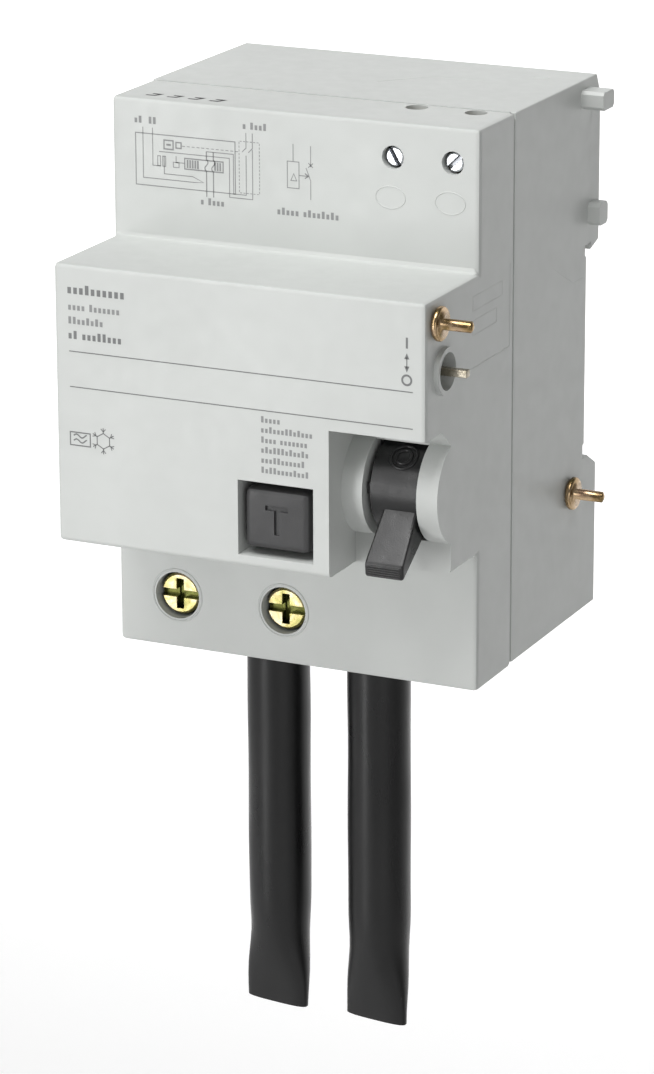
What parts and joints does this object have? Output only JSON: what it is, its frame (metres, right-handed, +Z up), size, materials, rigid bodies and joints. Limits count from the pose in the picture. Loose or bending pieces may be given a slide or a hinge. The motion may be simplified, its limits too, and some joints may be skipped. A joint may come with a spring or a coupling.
{
  "type": "residual current device",
  "caption": "Add-on residual current unit for a rail, with a toggle, a test button, cage terminals, coupling pins on its right side and two heavy black leads hanging from its base.",
  "frame": {"origin": "middle of the flat face that rests on the mounting rail, at the centre of the housing's width", "axes": "+X to the right, +Y back towards the rail, +Z up; the front with the toggle and button faces -Y"},
  "size_m": [0.0691, 0.0692, 0.16],
  "materials": {
    "housing_grey": "fine satin moulded thermoset, light grey",
    "black_plastic": "satin black moulded nylon",
    "inner_plastic": "natural ivory moulded nylon",
    "gold_chromate": "steel with yellow passivated zinc plating, slightly iridescent",
    "bright_zinc": "steel with bright zinc plating",
    "copper": "bare copper",
    "brass": "machined brass",
    "soft_iron": "grey magnetic alloy",
    "component_black": "dark moulded component body",
    "cable_black": "satin black insulation",
    "board_green": "green solder mask on glass-fibre laminate",
    "suppressor_blue": "blue dipped coating"
  },
  "bodies": {
    "housing": {"front_cover": "housing_grey", "rear_base": "housing_grey", "coupling_pin_front": "gold_chromate", "coupling_pin_rear": "gold_chromate", "trip_shaft": "bright_zinc", "trip_lever_spring": "bright_zinc", "toggle_shaft": "bright_zinc", "toggle_spring": "bright_zinc", "test_button_spring": "bright_zinc", "contact_carrier": "inner_plastic", "test_contact_left": "brass", "test_contact_right": "brass", "test_resistor": "inner_plastic", "terminal_busbar_left": "copper", "terminal_busbar_right": "copper", "aux_terminal_1": "brass", "aux_terminal_2": "brass", "transformer_core": "soft_iron", "secondary_winding": "copper", "transformer_cradle": "inner_plastic", "primary_conductor_left": "copper", "primary_conductor_right": "copper", "load_cable_left": "cable_black", "load_cable_right": "cable_black", "relay_case": "inner_plastic", "relay_cover": "inner_plastic", "relay_yoke": "soft_iron", "relay_bobbin": "black_plastic", "relay_coil": "copper", "relay_magnet": "component_black", "relay_spring": "bright_zinc", "circuit_board": "board_green", "filter_capacitor": "component_black", "surge_suppressor": "suppressor_blue", "rail_slider_spring": "bright_zinc"},
    "toggle": {"toggle": "black_plastic"},
    "test_button": {"test_button": "black_plastic", "test_contact_bridge": "brass"},
    "terminal_screw_left": {"terminal_screw_left": "gold_chromate"},
    "terminal_cage_left": {"terminal_cage_left": "bright_zinc"},
    "terminal_screw_right": {"terminal_screw_right": "gold_chromate"},
    "terminal_cage_right": {"terminal_cage_right": "bright_zinc"},
    "aux_screw_1": {"aux_screw_1": "bright_zinc"},
    "aux_screw_2": {"aux_screw_2": "bright_zinc"},
    "rail_slider": {"rail_slider": "black_plastic"},
    "trip_lever": {"trip_lever": "inner_plastic", "trip_pin": "bright_zinc"},
    "relay_plunger": {"relay_plunger": "inner_plastic"},
    "relay_armature": {"relay_armature": "soft_iron"}
  },
  "joints": [
    {"name": "toggle_swing", "type": "hinge", "parent": "housing", "child": "toggle", "pos_m": [0.0198, -0.0512, -0.0098], "axis": [-1, 0, 0], "range_deg": [0, 76]},
    {"name": "test_button_push", "type": "slide", "parent": "housing", "child": "test_button", "axis": [0, 1, 0], "range_m": [0, 0.002], "stiffness_N_per_m": 300, "springref_m": -0.004, "deforming": ["test_button_spring"]},
    {"name": "terminal_cage_left_lift", "type": "slide", "parent": "housing", "child": "terminal_cage_left", "axis": [0, -1, 0], "range_m": [0, 0.0032]},
    {"name": "terminal_screw_left_turn", "type": "hinge", "parent": "housing", "child": "terminal_screw_left", "pos_m": [-0.021, -0.0418, -0.0361], "axis": [0, 1, 0], "range_deg": [0, 1440]},
    {"name": "terminal_cage_right_lift", "type": "slide", "parent": "housing", "child": "terminal_cage_right", "axis": [0, -1, 0], "range_m": [0, 0.0032]},
    {"name": "terminal_screw_right_turn", "type": "hinge", "parent": "housing", "child": "terminal_screw_right", "pos_m": [-0.0021, -0.0418, -0.0361], "axis": [0, 1, 0], "range_deg": [0, 1440]},
    {"name": "aux_screw_1_turn", "type": "hinge", "parent": "housing", "child": "aux_screw_1", "pos_m": [0.017, -0.0433, 0.0394], "axis": [0, -1, 0], "range_deg": [0, 720]},
    {"name": "aux_screw_2_turn", "type": "hinge", "parent": "housing", "child": "aux_screw_2", "pos_m": [0.027, -0.0433, 0.0394], "axis": [0, -1, 0], "range_deg": [0, 720]},
    {"name": "rail_slider_pull", "type": "slide", "parent": "housing", "child": "rail_slider", "axis": [0, 0, -1], "range_m": [0, 0.004], "stiffness_N_per_m": 400, "springref_m": -0.006, "deforming": ["rail_slider_spring"]},
    {"name": "trip_lever_swing", "type": "hinge", "parent": "housing", "child": "trip_lever", "pos_m": [0, -0.046, 0.0106], "axis": [-1, 0, 0], "range_deg": [0, 9], "stiffness_Nm_per_rad": 0.002, "springref_deg": -17.19},
    {"name": "relay_plunger_lift", "type": "slide", "parent": "housing", "child": "relay_plunger", "axis": [0, 0, 1], "range_m": [0, 0.00125]},
    {"name": "relay_armature_swing", "type": "hinge", "parent": "housing", "child": "relay_armature", "pos_m": [-0.024, -0.0549, -0.0051], "axis": [0, -1, 0], "range_deg": [0, 6], "deforming": ["relay_spring"]}
  ],
  "couplings": [
    {"joint": "terminal_screw_left_turn", "follows": "terminal_cage_left_lift", "rad_per_m": 7854},
    {"joint": "terminal_screw_right_turn", "follows": "terminal_cage_right_lift", "rad_per_m": 7854},
    {"joint": "trip_lever_swing", "follows": "relay_plunger_lift", "rad_per_m": 125},
    {"joint": "relay_armature_swing", "follows": "relay_plunger_lift", "rad_per_m": 79.4}
  ]
}
